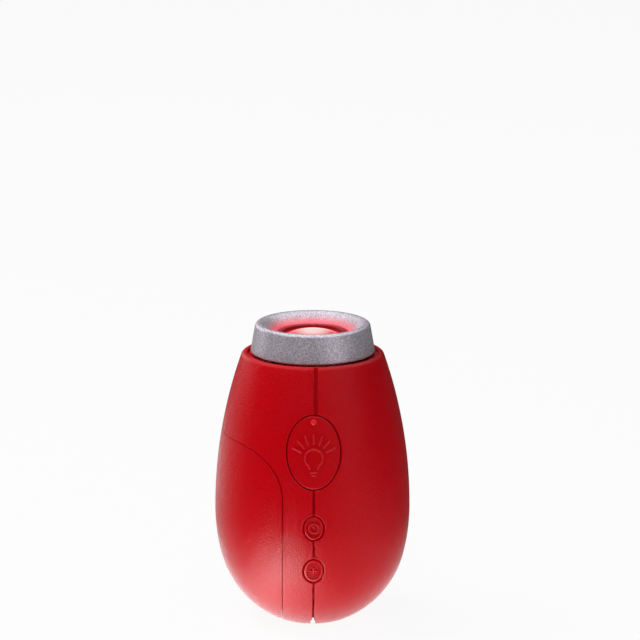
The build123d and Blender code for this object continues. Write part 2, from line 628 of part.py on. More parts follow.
name_piece(block((-half_flex, half_flex), (socket_back, -glass_half), flex_rows), "lcd_flex")
socket_rows = (SOCKET_LOW, SOCKET_HIGH)
socket = block((-half_socket, half_socket), (BOARD_BACK, socket_back), socket_rows)
name_piece(socket, "flex_socket")

# Board: upright behind the buttons, with the clock chip, crystal, resistors and three switches.
with BuildPart() as main_board:
    with BuildSketch(Plane.XZ.offset(-BOARD_BACK)):
        with Locations((BOARD_MID_X, (BOARD_LOW + BOARD_HIGH) / 2)):
            RectangleRounded(BOARD_RIGHT - BOARD_LEFT, BOARD_HIGH - BOARD_LOW, BOARD_CORNER)
    extrude(amount=BOARD_BACK - BOARD_FRONT)
name_piece(main_board.part, "main_board")

with BuildPart() as clock_chip:
    with BuildSketch(Plane.XY):
        with BuildLine():
            blob_r = (BLOB_R**2 + BLOB_RISE**2) / (2 * BLOB_RISE)
            blob_deg = math.degrees(math.asin((blob_r - BLOB_RISE) / blob_r))
            dome = CenterArc((0, BLOB_RISE - blob_r), blob_r, blob_deg, 90 - blob_deg)
            Polyline(dome @ 1, (0, 0), dome @ 0)
        make_face()
    revolve(axis=Axis.Y)
blob_place = Location((0, BOARD_FRONT, BLOB_Z), (0, 0, 180))
name_piece(clock_chip.part.moved(blob_place), "clock_chip")

with BuildPart() as quartz_crystal:
    with BuildSketch(Plane.XY.offset(CRYSTAL_LOW)):
        with Locations((CRYSTAL_X, BOARD_FRONT - CRYSTAL_R)):
            Circle(CRYSTAL_R)
    extrude(amount=CRYSTAL_HIGH - CRYSTAL_LOW)
name_piece(quartz_crystal.part, "quartz_crystal")
for number, z in enumerate(CHIP_Z, 1):
    wide, deep, tall = CHIP_SIZE
    chip = block(
        (CHIP_X - wide / 2, CHIP_X + wide / 2), (BOARD_FRONT - deep, BOARD_FRONT), (z, z + tall)
    )
    name_piece(chip, f"chip_resistor_{number}")


def front_patch(z, half_width, half_height, outer, inner):
    """The part of the skin between two insets that an oval, seen from the front, cuts out."""
    skin, core = egg(outer), egg(inner)
    with BuildPart() as patch:
        with BuildSketch(Plane.XZ.offset(SADDLE_HALF)):
            with Locations((0, z)):
                Ellipse(half_width, half_height)
        extrude(amount=BELLY_R)
        add(skin, mode=Mode.INTERSECT)
        add(core, mode=Mode.SUBTRACT)
    return patch.part


def push_button(z, half_width, half_height):
    """A cap that fills its aperture, with a flange behind the wall and a stem to the switch."""
    flange_top = WALL + FLANGE_PLAY
    flange_low = flange_top + FLANGE_THICK
    cap = front_patch(z, half_width - BUTTON_GAP, half_height - BUTTON_GAP, 0, flange_low)
    wide, high = half_width + BUTTON_FLANGE, half_height + BUTTON_FLANGE
    flange = front_patch(z, wide, high, flange_top, flange_low)
    stem_start = flange_low + WELD - skin_radius(z)
    stem = bar_along_y(0, z, STEM_R, stem_start - FLANGE_THICK, PLUNGER_TIP)
    with BuildPart() as button:
        add(cap)
        face_y = WALL / 2 - skin_radius(z)
        walls = button.faces().filter_by(lambda face: abs(face.normal_at().Y) < SIDE_WALL)
        fillet(walls.edges().filter_by(lambda edge: edge.center().Y < face_y), BUTTON_EDGE)
        add(flange)
        add(stem)
    return button.part


def touch_pip():
    """The raised dot near the top of the big button."""
    face_y = -skin_radius(PIP_Z)
    with BuildPart() as pip:
        add(bar_along_y(0, PIP_Z, PIP_R, face_y + WALL / 2, face_y - PIP_RISE))
        fillet(pip.edges().sort_by(Axis.Y)[0], PIP_EDGE)
    return pip.part


for name, (z, half_width, half_height) in BUTTONS.items():
    half = SWITCH_SIDE / 2
    switch_front = BOARD_FRONT - SWITCH_DEEP
    well = bar_along_y(0, z, PLUNGER_R + PLUNGER_PLAY, switch_front, switch_front + PLUNGER_WELL)
    with BuildPart() as switch:
        add(block((-half, half), (switch_front, BOARD_FRONT), (z - half, z + half)))
        fillet(switch.edges().filter_by(Axis.Y), SWITCH_EDGE)
        add(well, mode=Mode.SUBTRACT)
    name_piece(switch.part, f"{name}_switch")
    name_piece(bar_along_y(0, z, PLUNGER_R, PLUNGER_TIP, PLUNGER_ROOT), f"{name}_plunger")
    cap = push_button(z, half_width, half_height)
    rim = BUTTON_GAP + CAP_RIM
    if name == "project":
        detail, mode = touch_pip(), Mode.ADD
    else:
        detail, mode = front_patch(z, half_width - rim, half_height - rim, 0, CAP_RECESS), Mode.SUBTRACT
    with BuildPart() as button:
        add(cap)
        add(detail, mode=mode)
    name_piece(button.part, f"{name}_button")

# Coin cell and its two contacts, whose tails pass through the bay wall to the board's edge.
with BuildPart() as coin_cell:
    add(bar_along_x(0, CELL_Z, CELL_R, CELL_FRONT_X, CELL_BACK_X - CELL_STEP))
    add(bar_along_x(0, CELL_Z, CELL_STEP_R, CELL_BACK_X - CELL_STEP, CELL_BACK_X))
name_piece(coin_cell.part, "coin_cell")

strip_x = (BAY_X - STRIP, BAY_X)
tail_y = (TAIL_Y - TAIL_WIDTH / 2, TAIL_Y + TAIL_WIDTH / 2)
strap_y = (tail_y[0], NEGATIVE_HALF)
with BuildPart() as negative_contact:
    pad_rows = (NEGATIVE_LOW, NEGATIVE_TAIL_Z - TAIL_WIDTH)
    add(block(strip_x, (-NEGATIVE_HALF, NEGATIVE_HALF), pad_rows))
    add(block(strip_x, strap_y, (NEGATIVE_TAIL_Z - TAIL_WIDTH, NEGATIVE_TAIL_Z + STRIP)))
    tail_z = (NEGATIVE_TAIL_Z, NEGATIVE_TAIL_Z + STRIP)
    add(block((BAY_X - STRIP, BOARD_LEFT), tail_y, tail_z))
    with BuildSketch(Plane.XZ.offset(-NEGATIVE_HALF)):
        with BuildLine():
            Polyline(
                (BAY_X - STRIP, NEGATIVE_LOW),
                (CELL_BACK_X, NEGATIVE_LOW + NEGATIVE_HALF),
                (CELL_BACK_X, NEGATIVE_LOW + 2 * NEGATIVE_HALF),
                (BAY_X - STRIP, NEGATIVE_LOW + 2 * NEGATIVE_HALF + TAIL_WIDTH / 2),
                (BAY_X - STRIP, NEGATIVE_LOW + 2 * NEGATIVE_HALF),
                (CELL_BACK_X + STRIP, NEGATIVE_LOW + 2 * NEGATIVE_HALF - STRIP),
                (CELL_BACK_X + STRIP, NEGATIVE_LOW + NEGATIVE_HALF + STRIP),
                (BAY_X - STRIP, NEGATIVE_LOW + 2 * STRIP),
                close=True,
            )
        make_face()
    extrude(amount=2 * NEGATIVE_HALF)
name_piece(negative_contact.part, "negative_contact")

cell_low = CELL_Z - CELL_R
hook_x = (CELL_FRONT_X - STRIP, CELL_FRONT_X)
with BuildPart() as positive_contact:
    with BuildSketch(Plane.YZ.offset(BAY_X - STRIP)):
        with BuildLine():
            Polyline((0, POSITIVE_Z), (POSITIVE_BEND_Y, POSITIVE_Z), (TAIL_Y, POSITIVE_TAIL_Z))
        trace(line_width=POSITIVE_WIDTH)
    extrude(amount=STRIP)
    add(block(strip_x, (-POSITIVE_HALF, POSITIVE_HALF), (POSITIVE_Z - STRIP, cell_low)))
    tail_z = (POSITIVE_TAIL_Z, POSITIVE_TAIL_Z + STRIP)
    add(block((BAY_X - STRIP, BOARD_LEFT), tail_y, tail_z))
    arm_y = (-POSITIVE_HALF, POSITIVE_HALF)
    add(block((hook_x[0], BAY_X), arm_y, (cell_low - STRIP, cell_low)))
    add(block(hook_x, arm_y, (cell_low - STRIP, cell_low + POSITIVE_HOOK)))
name_piece(positive_contact.part, "positive_contact")

# Case screws, driven from the battery bay.
with BuildPart() as case_screws:
    for y, z, seat_x in SCREWS:
        head_x = seat_x - SCREW_HEAD
        add(bar_along_x(y, z, SCREW_R, seat_x, SCREW_TIP))
        add(bar_along_x(y, z, SCREW_HEAD_R, head_x, seat_x))
        for long, short in ((SCREW_HEAD_R, DRIVE_WIDTH), (DRIVE_WIDTH, SCREW_HEAD_R)):
            drive = block(
                (head_x, head_x + SLOT_DEEP),
                (y - long / 2, y + long / 2),
                (z - short / 2, z + short / 2),
            )
            add(drive, mode=Mode.SUBTRACT)
name_piece(case_screws.part, "case_screws")
name_piece(strap_bore, "strap_pin")

# Alarm sounder: a brass disc with its ceramic, and two wires round the lamp house to the board.
disc_front = SOUNDER_SEAT_Y - DISC_THICK
sounder_disc = bar_along_y(0, SOUNDER_Z, SOUNDER_R, disc_front, SOUNDER_SEAT_Y)
name_piece(sounder_disc, "sounder_disc")
sounder_ceramic = bar_along_y(0, SOUNDER_Z, CERAMIC_R, disc_front - DISC_THICK, disc_front)
name_piece(sounder_ceramic, "sounder_ceramic")

for name, (x, z, start_y) in WIRES.items():
    with BuildPart() as wire:
        with BuildLine() as route:
            FilletPolyline(
                (x, start_y, z),
                (x, WIRE_CLEAR_Y, z),
                (WIRE_SIDE_X, WIRE_BACK_Y, z),
                (WIRE_SIDE_X, WIRE_FRONT_Y, z),
                (WIRE_END_X, WIRE_END_Y, z),
                (WIRE_END_X, BOARD_BACK, z),
                radius=WIRE_BEND,
            )
        with BuildSketch(Plane(route.line @ 0, z_dir=route.line % 0)):
            Circle(WIRE_R)
        sweep(path=route.line)
    name_piece(wire.part, name)

os.makedirs("parts", exist_ok=True)
for piece in NODES:
    export_step(piece, f"parts/{piece.label}.step")
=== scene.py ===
"""Looks for the pocket projection alarm clock, laid out as a Blender add-on.

Every operator dresses one piece or one group of like pieces. Lengths are in metres, and every
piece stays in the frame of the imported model.
"""

import math

import bpy
import numpy as np
from bpy.props import FloatProperty, FloatVectorProperty, IntProperty, PointerProperty
from mathutils import Matrix, Vector


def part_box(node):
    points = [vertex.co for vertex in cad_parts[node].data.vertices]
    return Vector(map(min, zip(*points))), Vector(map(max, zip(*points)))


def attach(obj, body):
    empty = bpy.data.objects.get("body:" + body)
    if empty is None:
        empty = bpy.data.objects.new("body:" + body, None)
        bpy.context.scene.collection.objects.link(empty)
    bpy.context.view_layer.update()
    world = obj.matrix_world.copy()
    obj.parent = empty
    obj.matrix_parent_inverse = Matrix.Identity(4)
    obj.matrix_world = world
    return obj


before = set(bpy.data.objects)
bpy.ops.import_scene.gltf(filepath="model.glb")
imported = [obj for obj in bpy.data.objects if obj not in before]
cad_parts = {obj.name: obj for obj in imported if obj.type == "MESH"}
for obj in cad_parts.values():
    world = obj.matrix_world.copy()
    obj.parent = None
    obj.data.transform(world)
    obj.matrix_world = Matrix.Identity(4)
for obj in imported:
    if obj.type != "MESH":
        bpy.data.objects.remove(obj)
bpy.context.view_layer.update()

bl_info = {
    "name": "Pocket projection clock",
    "version": (1, 0, 0),
    "blender": (4, 5, 0),
    "location": "View3D > Sidebar > Clock",
    "description": "Dresses the pocket projection clock and sets its stage",
    "category": "Object",
}

MM = 0.001
WHITE, BLACK = (1.0, 1.0, 1.0, 1.0), (0.0, 0.0, 0.0, 1.0)
# What a length keeps of each axis when it is measured in the XY plane, and in the XZ plane.
FLAT, FACING = (1.0, 1.0, 0.0), (1.0, 0.0, 1.0)

# Outer skin of the egg, as three arcs turned about Z, the same as the shells have.
BELLY_R, BELLY_Z = 19.0 * MM, 22.15 * MM
FLANK_ARC_R = 92.4 * MM
BELLY_ARC_R, BELLY_ARC_TURN = 39.07 * MM, math.radians(13.48)
FOOT_ARC_R = 19.0 * MM
# The raised dot on the large button, its painted highlight's red, and radius shares where it
# fades.
DOT_Z, DOT_R = 43.1 * MM, 0.6 * MM
DOT_HIGHLIGHT_RED, DOT_FADE = (0.80, 0.02, 0.03), (0.8, 1.1)
# The right shell's groove over the front button; shares of its width where its painted shade
# fades.
GROOVE_X, GROOVE_Z = (0.0, 0.86 * MM), 44.0 * MM
GROOVE_FADE = (0.4, 0.6)
# Painted shade: the plastic's colour darkens between these depths, at these heights.
GAP_DEPTHS, GAP_HEIGHTS = (0.05 * MM, 0.25 * MM), (0.5 * MM, 49.5 * MM)
# How much painted shade darkens it: in any gap, on the caps against that, and in the groove.
GAP_PAINTED_SHADE, CAP_PAINTED_SHADE, GROOVE_PAINTED_SHADE = 0.75, 0.35, 0.28
# The share of painted shade that the seam loses, and the distances from x = 0 where that fades.
SEAM_LOSS, SEAM_FADE = 0.4, (0.4 * MM, 0.6 * MM)
# A matt gap's roughness rises this steeply with the mask, up to this level.
MATT_RISE, MATT_TOP = 3.0, 0.9

# Grain: how much finer its fine noise is, how high against the coarse one, and the heights at
# which a point is wholly low and no longer low.
FINE_SCALE, FINE_HEIGHT, LOW_LEVELS = 2.3, 0.33, (0.55, 0.8)
# Moulded plastic: the share of the low points' colour, the scale of the clouds, and how far the
# roughness wanders in them.
LOW_SHARE, CLOUD_SCALE, CLOUD_ROUGH = 0.5, 0.05 / MM, 0.04
# Metal: the scale, relief and height of its streaks, and how far the roughness wanders in them.
STREAK_SCALE, STREAK_RELIEF, STREAK_RISE, STREAK_ROUGH = 2.0 / MM, 0.15, 0.01 * MM, 0.08
# Silver paint: the cell values from dark to bright flake, the relief and height of the flakes, and
# how far the roughness wanders between them.
FLAKE_LEVELS, FLAKE_RELIEF, FLAKE_RISE, FLAKE_ROUGH = (0.1, 1.0), 0.5, 0.02 * MM, 0.1
# Painted light of the lens on the collar: its fade, and the share and colour of the tint under it.
HALO_POWER, HALO_SHARE, HALO_TINT = 1.6, 0.85, (0.5, 0.05, 0.06)
# The lens: shares of its radius where its core fades, and its two base colours, painted light.
CORE_FADE, LENS_EDGE, LENS_CORE = (0.15, 0.78), (0.2, 0.005, 0.01), (0.4, 0.3, 0.28)


def colour_property(name, description, default):
    """A colour that the user can change."""
    return FloatVectorProperty(
        name=name,
        description=description,
        subtype="COLOR",
        size=3,
        min=0.0,
        max=1.0,
        default=default,
    )


def length_property(name, description, default):
    """A length that the user can change."""
    return FloatProperty(
        name=name,
        description=description,
        subtype="DISTANCE",
        unit="LENGTH",
        min=0.0,
        default=default,
    )


def angle_property(name, description, degrees):
    """An angle that the user can change."""
    return FloatProperty(
        name=name, description=description, subtype="ANGLE", default=math.radians(degrees)
    )


def factor_property(name, description, default, high=1.0):
    """A plain number that the user can change."""
    return FloatProperty(name=name, description=description, min=0.0, max=high, default=default)


class CaseSettings(bpy.types.PropertyGroup):
    """The red shells, the battery door and the button caps."""

    colour: colour_property("Case colour", "Colour of the moulded case", (0.62, 0.001, 0.007))
    shade: colour_property("Grain colour", "Colour of the low points", (0.50, 0.001, 0.006))
    grain: length_property("Grain size", "Distance between the bumps", 0.3 * MM)
    relief: factor_property("Grain relief", "Strength of the spark texture", 0.8)
    height: length_property("Grain height", "Height of the spark texture's bumps", 0.12 * MM)
    roughness: factor_property("Roughness", "Roughness of the satin surface", 0.25)
    gloss: factor_property("Gloss", "Specular level of the satin surface", 0.25)
    depth: length_property("Light depth", "How far red light spreads inside the plastic", 0.9 * MM)


class CollarSettings(bpy.types.PropertyGroup):
    """The silver focus collar."""

    colour: colour_property("Collar colour", "Colour between the flakes", (0.55, 0.50, 0.60))
    flake: colour_property("Flake colour", "Colour of the bright flakes", (1.0, 0.93, 1.0))
    flake_size: length_property("Flake size", "Distance between the paint's flakes", 0.2 * MM)
    roughness: factor_property("Roughness", "Roughness of the painted surface", 0.37)
    metal: factor_property("Metal", "How metallic the paint is", 0.6)
    # Painted light: the collar itself glows in this colour near its mouth.
    halo: colour_property("Halo", "Colour that the lens throws on the mouth", (0.60, 0.05, 0.08))
    halo_width: length_property("Halo width", "Reach of the lens's light up the dish", 2.8 * MM)


class LensSettings(bpy.types.PropertyGroup):
    """The projection lens and the lamp behind it."""

    # Painted light: the lens itself glows in these colours, for the lamp behind it.
    rim: colour_property("Rim glow", "Colour of the lit lens near its edge", (0.72, 0.03, 0.05))
    core: colour_property("Core glow", "Colour of the lit lens at its middle", (0.90, 0.62, 0.57))
    glow: factor_property("Glow", "How strongly the lit lens shines", 0.9, 20.0)


class SymbolSettings(bpy.types.PropertyGroup):
    """The raised symbols on the button caps."""

    # Both colours are a lighter red than the case's: a painted highlight on the raised strokes.
    colour: colour_property("Symbol colour", "Colour of the tops", (0.70, 0.012, 0.02))
    shade: colour_property("Symbol shade", "Colour of the low points", (0.62, 0.004, 0.012))
    half_width: length_property("Half width", "Half the width of a symbol's stroke", 0.18 * MM)
    rise: length_property("Rise", "How far a stroke stands proud of its cap", 0.22 * MM)
    bulb_radius: length_property("Bulb", "Radius of the light bulb symbol", 1.7 * MM)
    rays: IntProperty(name="Rays", description="Rays over the light bulb symbol", min=1, default=7)
    fan: angle_property("Fan", "Turn of the outer rays", 66)
    fine: factor_property("Fine stroke", "Stroke of the small symbols against the large one", 1.0)
    recess: length_property("Recess", "Depth of the hollow in the small caps", 0.3 * MM)
    dial_radius: length_property("Dial symbol", "Radius of the dial on the mode button", 0.92 * MM)
    plus_reach: length_property("Plus symbol", "Reach of the plus on the set button", 0.8 * MM)


class StageSettings(bpy.types.PropertyGroup):
    """Floor, studio light and camera."""

    floor_reach: length_property("Floor reach", "Half the floor's side", 3.0)
    distance: length_property("Camera distance", "Distance from the camera to the clock", 0.9)
    elevation: angle_property("Elevation", "How far above the horizon the camera is", 15)
    azimuth: angle_property("Azimuth", "Turn of the camera about the clock", -0.8)
    roll: angle_property("Roll", "Tilt of the camera", 0.1)
    lamps: factor_property("Lamps", "Strength of all the softboxes", 1.0, 10.0)
    table: factor_property("Light table", "Strength of the light from the floor", 1.0, 10.0)


# Node helpers


class Nodes:
    """Adds nodes to a tree, and takes each input as a value or as a socket to link."""

    def __init__(self, tree):
        self.tree = tree

    def add(self, kind, inputs=None, **settings):
        """A node of that kind, with its settings and its inputs filled in."""
        node = self.tree.nodes.new(kind)
        for key, value in settings.items():
            setattr(node, key, value)
        for key, value in (inputs or {}).items():
            socket = node.inputs[key]
            if isinstance(value, bpy.types.NodeSocket):
                self.tree.links.new(value, socket)
            else:
                socket.default_value = value
        return node

    def math(self, operation, *values):
        """The result of a Math node."""
        return self.add("ShaderNodeMath", dict(enumerate(values)), operation=operation).outputs[0]

    def blend(self, factor, low, high):
        """A value between two values."""
        return self.add("ShaderNodeMix", {0: factor, 2: low, 3: high}).outputs[0]

    def mix(self, factor, low, high):
        """A colour between two colours."""
        node = self.add("ShaderNodeMix", {0: factor, 6: low, 7: high}, data_type="RGBA")
        return node.outputs[2]

    def product(self, *values):
        """The product of two or more values."""
        result, *others = values
        for value in others:
            result = self.math("MULTIPLY", result, value)
        return result

    def length(self, vector, keep=(1.0, 1.0, 1.0), shift=(0.0, 0.0, 0.0)):
        """Length of a vector, of which each axis is first multiplied by keep and then shifted."""
        inputs = {"Vector": vector, "Scale": keep, "Location": shift}
        moved = self.add("ShaderNodeMapping", inputs)
        node = self.add("ShaderNodeVectorMath", {0: moved.outputs[0]}, operation="LENGTH")
        return node.outputs["Value"]

    def place(self):
        """The point of the surface in the object's own space."""
        return self.add("ShaderNodeTexCoord").outputs["Object"]


def opaque(colour):
    """A colour with full alpha."""
    return (*colour, 1.0)


def new_material(name):
    """An empty material and its node helper."""
    material = bpy.data.materials.new(name)
    material.use_nodes = True
    material.node_tree.nodes.clear()
    return material, Nodes(material.node_tree)


def finish_material(nodes, **inputs):
    """The Principled BSDF and the output. Inputs have their names, with underscores for spaces."""
    named = {key.replace("_", " "): value for key, value in inputs.items()}
    shader = nodes.add("ShaderNodeBsdfPrincipled", named)
    nodes.add("ShaderNodeOutputMaterial", {"Surface": shader.outputs[0]})


def group_with(name, inputs, outputs):
    """A new shader group with named sockets, its helper, its input node and its output node."""
    tree = bpy.data.node_groups.new(name, "ShaderNodeTree")
    for label, kind in inputs:
        tree.interface.new_socket(label, in_out="INPUT", socket_type=kind)
    for label, kind in outputs:
        tree.interface.new_socket(label, in_out="OUTPUT", socket_type=kind)
    nodes = Nodes(tree)
    return tree, nodes, nodes.add("NodeGroupInput"), nodes.add("NodeGroupOutput")


def grain_group():
    """Moulded grain: two sizes of noise added up, as a height and as a mask of its low points."""
    existing = bpy.data.node_groups.get("moulded_grain")
    if existing:
        return existing
    sockets = [("Vector", "NodeSocketVector"), ("Size", "NodeSocketFloat")]
    tree, nodes, inside, outside = group_with(
        "moulded_grain", sockets, [("Height", "NodeSocketFloat"), ("Low", "NodeSocketFloat")]
    )
    coarse = nodes.math("DIVIDE", 1.0, inside.outputs["Size"])
    layers = []
    for scale in (coarse, nodes.math("MULTIPLY", coarse, FINE_SCALE)):
        place = {"Vector": inside.outputs["Vector"], "Scale": scale}
        noise = nodes.add("ShaderNodeTexNoise", {**place, "Detail": 1.0, "Roughness": 0.5})
        layers.append(noise.outputs["Fac"])
    height = nodes.math("MULTIPLY_ADD", layers[1], FINE_HEIGHT, layers[0])
    start, end = LOW_LEVELS
    low = nodes.add(
        "ShaderNodeMapRange",
        {"Value": height, "From Min": start, "From Max": end, "To Min": 1.0, "To Max": 0.0},
    )
    nodes.tree.links.new(height, outside.inputs["Height"])
    nodes.tree.links.new(low.outputs[0], outside.inputs["Low"])
    return tree


def grain(nodes, size):
    """The moulded grain placed in a material. The size is the distance between its bumps."""
    node = nodes.add("ShaderNodeGroup", node_tree=grain_group())
    nodes.tree.links.new(nodes.place(), node.inputs["Vector"])
    node.inputs["Size"].default_value = size
    return node.outputs["Height"], node.outputs["Low"]


def wander(nodes, value, centre, reach):
    """Spread a value from 0 to 1 over centre - reach to centre + reach."""
    limits = {"To Min": centre - reach, "To Max": centre + reach}
    return nodes.add("ShaderNodeMapRange", {"Value": value, **limits}).outputs[0]


def fade_out(nodes, value, start, end):
    """A soft step: 1 where the value is start, 0 where it is end."""
    node = nodes.add(
        "ShaderNodeMapRange",
        {"Value": value, "From Min": start, "From Max": end, "To Min": 1.0, "To Max": 0.0},
        interpolation_type="SMOOTHSTEP",
    )
    return node.outputs[0]


def from_axis(nodes):
    """Distance of the surface from the Z axis, which runs through the middle of the lens."""
    return nodes.length(nodes.place(), FLAT)


def moulded(
    name, colour, shade, size, relief, roughness, depth=0.02 * MM, recess=None, dot=None, **extra
):
    """Moulded plastic: grain in its height and its colour, and clouds in its roughness.

    The grain's bumps are size apart and depth high, and relief is the strength of their shading.
    recess makes the mask of painted shade, where the plastic is matt and has half of its colour.
    dot makes the mask of a painted highlight on a raised dot, which is a lighter red.
    """
    material, nodes = new_material(name)
    height, low = grain(nodes, size)
    cloud = nodes.add(
        "ShaderNodeTexNoise", {"Vector": nodes.place(), "Scale": CLOUD_SCALE, "Detail": 3.0}
    )
    tint = nodes.mix(nodes.math("MULTIPLY", low, LOW_SHARE), opaque(colour), opaque(shade))
    rough = wander(nodes, cloud.outputs["Fac"], roughness, CLOUD_ROUGH)
    if recess:
        # Painted shade: gaps, seams and hollows get half the colour and turn matt.
        mask = recess(nodes)
        tint = nodes.mix(mask, tint, opaque([level / 2 for level in colour]))
        matt = nodes.math("MINIMUM", nodes.math("MULTIPLY", mask, MATT_RISE), MATT_TOP)
        rough = nodes.math("MAXIMUM", rough, matt)
    if dot:
        # Painted highlight: the raised dot is a lighter red.
        tint = nodes.mix(dot(nodes), tint, opaque(DOT_HIGHLIGHT_RED))
    bump = nodes.add("ShaderNodeBump", {"Height": height, "Strength": relief, "Distance": depth})
    finish_material(nodes, Base_Color=tint, Roughness=rough, Normal=bump.outputs[0], **extra)
    return material


def metal(name, colour, shade, stretch, roughness):
    """Drawn or rolled metal: fine streaks that run along one axis."""
    material, nodes = new_material(name)
    flat = nodes.add("ShaderNodeMapping", {"Vector": nodes.place(), "Scale": stretch})
    noise = nodes.add(
        "ShaderNodeTexNoise", {"Vector": flat.outputs[0], "Scale": STREAK_SCALE, "Detail": 3.0}
    )
    streaks = noise.outputs["Fac"]
    tint = nodes.mix(streaks, opaque(shade), opaque(colour))
    rough = wander(nodes, streaks, roughness, STREAK_ROUGH)
    shape = {"Height": streaks, "Strength": STREAK_RELIEF, "Distance": STREAK_RISE}
    bump = nodes.add("ShaderNodeBump", shape)
    finish_material(
        nodes, Base_Color=tint, Metallic=1.0, Roughness=rough, Normal=bump.outputs[0]
    )
    return material


def dress(material, *nodes):
    """Give one or more CAD nodes a material."""
    for node in nodes:
        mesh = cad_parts[node].data
        mesh.materials.clear()
        mesh.materials.append(material)


# Materials of the clock


def skin_depth_group():
    """Depth of a point below the egg's skin, from the same three arcs as skin_radius."""
    existing = bpy.data.node_groups.get("skin_depth")
    if existing:
        return existing
    tree, nodes, inside, outside = group_with(
        "skin_depth", [("Vector", "NodeSocketVector")], [("Depth", "NodeSocketFloat")]
    )
    spot = nodes.add("ShaderNodeSeparateXYZ", {0: inside.outputs["Vector"]})
    away = nodes.length(inside.outputs["Vector"], FLAT)
    arcs, joint = skin_arcs()
    radii = []
    for middle_r, middle_z, radius in arcs:
        rise = nodes.math("SUBTRACT", spot.outputs["Z"], middle_z)
        left = nodes.math("SUBTRACT", radius * radius, nodes.math("MULTIPLY", rise, rise))
        root = nodes.math("SQRT", nodes.math("MAXIMUM", left, 0.0))
        radii.append(nodes.math("ADD", root, middle_r))
    skin = radii[2]
    for start, radius in ((joint, radii[1]), (BELLY_Z, radii[0])):
        above = nodes.math("GREATER_THAN", spot.outputs["Z"], start)
        skin = nodes.blend(above, skin, radius)
    nodes.tree.links.new(nodes.math("SUBTRACT", skin, away), outside.inputs["Depth"])
    return tree


def painted_shade_in_gaps(nodes):
    """Mask of painted shade on seam, gap and hollow walls: below the skin, between foot and rim.
    """
    place = nodes.place()
    node = nodes.add("ShaderNodeGroup", node_tree=skin_depth_group())
    nodes.tree.links.new(place, node.inputs["Vector"])
    height = nodes.add("ShaderNodeSeparateXYZ", {0: place}).outputs["Z"]
    low, high = GAP_HEIGHTS
    deep = nodes.math("SUBTRACT", 1.0, fade_out(nodes, node.outputs["Depth"], *GAP_DEPTHS))
    below = nodes.math("LESS_THAN", height, high)
    above = nodes.math("GREATER_THAN", height, low)
    return nodes.product(deep, GAP_PAINTED_SHADE, below, above)


def painted_shade_in_cap_hollows(nodes):
    """The same painted shade, weaker, for the button caps and the hollows in the small ones."""
    return nodes.math("MULTIPLY", painted_shade_in_gaps(nodes), CAP_PAINTED_SHADE)


def painted_shade_in_shell_gaps(nodes):
    """The same painted shade, weaker on the seam. Over the front button only the groove is dark.
    """
    spot = nodes.add("ShaderNodeSeparateXYZ", {0: nodes.place()})
    left, right = GROOVE_X
    from_middle = nodes.math("SUBTRACT", spot.outputs["X"], (left + right) / 2)
    fade = [(right - left) * share for share in GROOVE_FADE]
    across = fade_out(nodes, nodes.math("ABSOLUTE", from_middle), *fade)
    front = nodes.math("LESS_THAN", spot.outputs["Y"], 0.0)
    above = nodes.math("GREATER_THAN", spot.outputs["Z"], GROOVE_Z)
    # Painted shade in the groove over the front button.
    groove = nodes.product(across, front, above, GROOVE_PAINTED_SHADE)
    seam = fade_out(nodes, nodes.math("ABSOLUTE", spot.outputs["X"]), *SEAM_FADE)
    seam_loss = nodes.math("MULTIPLY", seam, SEAM_LOSS)
    loss = nodes.math("MAXIMUM", seam_loss, nodes.product(front, above))
    return nodes.math("MULTIPLY_ADD", painted_shade_in_gaps(nodes), nodes.math("SUBTRACT", 1.0, loss), groove)


def painted_highlight_on_dot(nodes):
    """Mask of the painted highlight on the raised dot atop the large cap, round as seen along Y.
    """
    away = nodes.length(nodes.place(), FACING, (0.0, 0.0, -DOT_Z))
    return fade_out(nodes, away, *(share * DOT_R for share in DOT_FADE))


def case_plastic(name, recess, dot=None):
    """Satin red moulding with a fine spark texture, painted shade and a painted highlight."""
    case = bpy.context.scene.clock_case
    look = (case.colour, case.shade, case.grain, case.relief, case.roughness, case.height)
    return moulded(
        name,
        *look,
        recess,
        dot,
        Specular_IOR_Level=case.gloss,
        Subsurface_Weight=1.0,
        Subsurface_Radius=(1.0, 0.05, 0.05),
        Subsurface_Scale=case.depth,
    )


def collar_paint():
    """Silver paint: bright flakes over a darker ground, and painted red lens light at the mouth.
    """
    collar = bpy.context.scene.clock_collar
    material, nodes = new_material("collar_silver")
    scale = 1.0 / collar.flake_size
    cells = nodes.add("ShaderNodeTexVoronoi", {"Vector": nodes.place(), "Scale": scale})
    spread = nodes.add("ShaderNodeSeparateColor", {"Color": cells.outputs["Color"]})
    dark, bright = FLAKE_LEVELS
    levels = {"Value": spread.outputs[0], "From Min": dark, "From Max": bright}
    flake = nodes.add("ShaderNodeMapRange", levels)
    tint = nodes.mix(flake.outputs[0], opaque(collar.colour), opaque(collar.flake))
    height, _ = grain(nodes, collar.flake_size)
    shape = {"Height": height, "Strength": FLAKE_RELIEF, "Distance": FLAKE_RISE}
    bump = nodes.add("ShaderNodeBump", shape)
    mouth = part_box("lens_carrier")[1].x
    # Painted light: near the mouth the paint glows red and its colour turns red.
    near = fade_out(nodes, from_axis(nodes), mouth, mouth + collar.halo_width)
    glow = nodes.mix(nodes.math("POWER", near, HALO_POWER), BLACK, opaque(collar.halo))
    tint = nodes.mix(nodes.math("MULTIPLY", near, HALO_SHARE), tint, opaque(HALO_TINT))
    finish_material(
        nodes,
        Base_Color=tint,
        Metallic=collar.metal,
        Roughness=wander(nodes, spread.outputs[1], collar.roughness, FLAKE_ROUGH),
        Normal=bump.outputs[0],
        Emission_Color=glow,
        Emission_Strength=1.0,
    )
    return material


